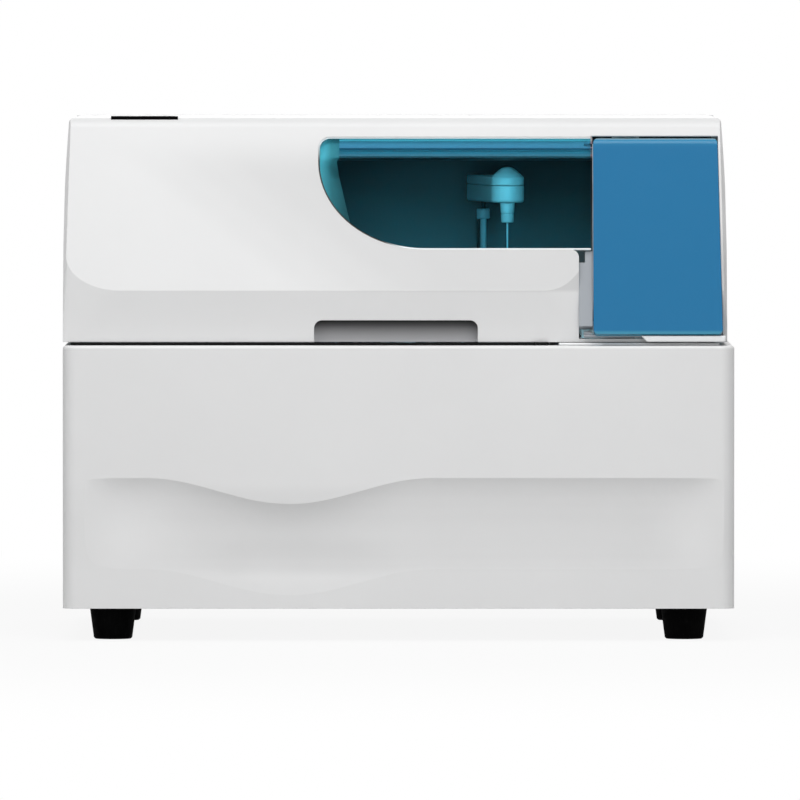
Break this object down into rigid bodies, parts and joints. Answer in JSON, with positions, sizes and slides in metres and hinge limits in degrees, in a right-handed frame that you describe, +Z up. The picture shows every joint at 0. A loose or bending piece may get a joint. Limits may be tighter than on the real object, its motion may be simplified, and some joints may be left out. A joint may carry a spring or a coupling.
{
  "type": "biochemistry analyzer",
  "caption": "Bench-top biochemistry analyzer: white cabinet, hinged cover with a swooping tinted window, blue access door, and a sampling arm above sample and reaction carousels.",
  "frame": {"origin": "centre of the footprint, on the plane that the feet stand on", "axes": "+Z up, +X to the right seen from the front, the front faces -Y"},
  "size_m": [0.72, 0.6, 0.5615],
  "materials": {
    "cabinet_white": "satin",
    "cover_white": "satin",
    "panel_white": "satin",
    "door_blue": "gloss",
    "trim_black": "matte",
    "trim_grey": "satin",
    "trim_silver": "satin",
    "rubber_black": "matte",
    "pane_tint": "gloss",
    "deck_grey": "satin",
    "steel": "brushed",
    "polished_steel": "polished",
    "frame_grey": "satin",
    "bath_aluminium": "satin",
    "arm_white": "satin",
    "disc_black": "satin",
    "cuvette_clear": "gloss",
    "bottle_white": "satin",
    "cup_clear": "gloss",
    "board_green": "satin"
  },
  "bodies": {
    "base": {"rubber_feet": "rubber_black", "floor_tray": "frame_grey", "frame_tubes": "frame_grey", "front_panel": "cabinet_white", "side_panel_left": "cabinet_white", "side_panel_right": "cabinet_white", "deck_plate": "deck_grey", "cover_hinge_pins": "polished_steel", "cover_hinge_brackets": "steel", "cover_bumpers": "rubber_black", "rear_cover": "cabinet_white", "bay_back_wall": "deck_grey", "carousel_well": "bath_aluminium", "incubator_bath": "bath_aluminium", "drive_motors": "frame_grey", "probe_column": "steel", "mixer_column": "steel", "wash_post": "polished_steel", "rinse_well": "trim_grey", "rear_panel": "panel_white", "fan_frame": "trim_black", "fan_guard": "steel", "power_inlet": "trim_black", "port_block": "trim_black", "hose_spigots": "trim_silver", "panel_screws": "polished_steel", "power_supply": "bath_aluminium", "control_board": "board_green", "wash_pump": "trim_grey", "syringe_pump": "trim_grey", "photometer_housing": "disc_black"},
    "cover": {"cover_shell": "cover_white", "door_jamb": "trim_silver", "window_gasket": "rubber_black", "window_pane": "pane_tint", "window_reveal": "cover_white", "window_rail": "trim_silver", "grip_pocket": "trim_grey", "top_vent": "trim_black"},
    "door": {"door_panel": "door_blue", "door_pins": "polished_steel"},
    "carousel": {"carousel_tray": "disc_black", "reagent_bottles": "bottle_white", "sample_cups": "cup_clear"},
    "rotor": {"rotor_disc": "disc_black", "cuvette_ring": "cuvette_clear"},
    "probe_lift": {"probe_shaft": "polished_steel"},
    "probe_arm": {"probe_arm_lower": "arm_white", "probe_arm_upper": "arm_white", "probe_holder": "arm_white", "probe_needle": "polished_steel"},
    "mixer_lift": {"mixer_shaft": "polished_steel"},
    "mixer_arm": {"mixer_arm": "arm_white"},
    "mixer_paddle": {"mixer_paddle": "polished_steel"},
    "wash_head": {"wash_head": "trim_grey"},
    "fan_rotor": {"fan_rotor": "trim_black"},
    "power_rocker": {"power_rocker": "trim_black"},
    "pump_rotor": {"pump_rotor": "trim_silver"},
    "syringe_plunger": {"syringe_plunger": "polished_steel"},
    "filter_wheel": {"filter_wheel": "bath_aluminium"}
  },
  "joints": [
    {"name": "cover_hinge", "type": "hinge", "parent": "base", "child": "cover", "pos_m": [0, 0.13, 0.552], "axis": [-1, 0, 0], "range_deg": [0, 60]},
    {"name": "door_hinge", "type": "hinge", "parent": "cover", "child": "door", "pos_m": [0.27, -0.24255, 0.53006], "axis": [-1, 0, 0], "range_deg": [0, 95]},
    {"name": "carousel_turn", "type": "hinge", "parent": "base", "child": "carousel", "pos_m": [0.18569, -0.09218, 0.262], "axis": [0, 0, 1], "continuous": true},
    {"name": "rotor_turn", "type": "hinge", "parent": "base", "child": "rotor", "pos_m": [-0.145, -0.08, 0.29], "axis": [0, 0, 1], "continuous": true},
    {"name": "probe_rise", "type": "slide", "parent": "base", "child": "probe_lift", "axis": [0, 0, 1], "range_m": [-0.085, 0]},
    {"name": "probe_turn", "type": "hinge", "parent": "probe_lift", "child": "probe_arm", "pos_m": [0.093, 0.07, 0.455], "axis": [0, 0, 1], "range_deg": [-52.69, 43.68]},
    {"name": "mixer_rise", "type": "slide", "parent": "base", "child": "mixer_lift", "axis": [0, 0, 1], "range_m": [-0.03, 0]},
    {"name": "mixer_turn", "type": "hinge", "parent": "mixer_lift", "child": "mixer_arm", "pos_m": [-0.05124, 0.07948, 0.405], "axis": [0, 0, 1], "range_deg": [0, 60.7]},
    {"name": "mixer_spin", "type": "hinge", "parent": "mixer_arm", "child": "mixer_paddle", "pos_m": [-0.13679, 0.0317, 0.39], "axis": [0, 0, 1], "continuous": true},
    {"name": "wash_rise", "type": "slide", "parent": "base", "child": "wash_head", "axis": [0, 0, 1], "range_m": [-0.03, 0]},
    {"name": "fan_spin", "type": "hinge", "parent": "base", "child": "fan_rotor", "pos_m": [0.22, 0.27, 0.18], "axis": [0, 1, 0], "continuous": true},
    {"name": "rocker_tilt", "type": "hinge", "parent": "base", "child": "power_rocker", "pos_m": [-0.208, 0.285, 0.095], "axis": [1, 0, 0], "range_deg": [-8, 8]},
    {"name": "pump_spin", "type": "hinge", "parent": "base", "child": "pump_rotor", "pos_m": [-0.25, -0.21, 0.0763], "axis": [0, 1, 0], "continuous": true},
    {"name": "plunger_draw", "type": "slide", "parent": "base", "child": "syringe_plunger", "axis": [0, 0, 1], "range_m": [-0.03, 0]},
    {"name": "filter_turn", "type": "hinge", "parent": "base", "child": "filter_wheel", "pos_m": [-0.313, -0.09, 0.286], "axis": [1, 0, 0], "continuous": true}
  ]
}
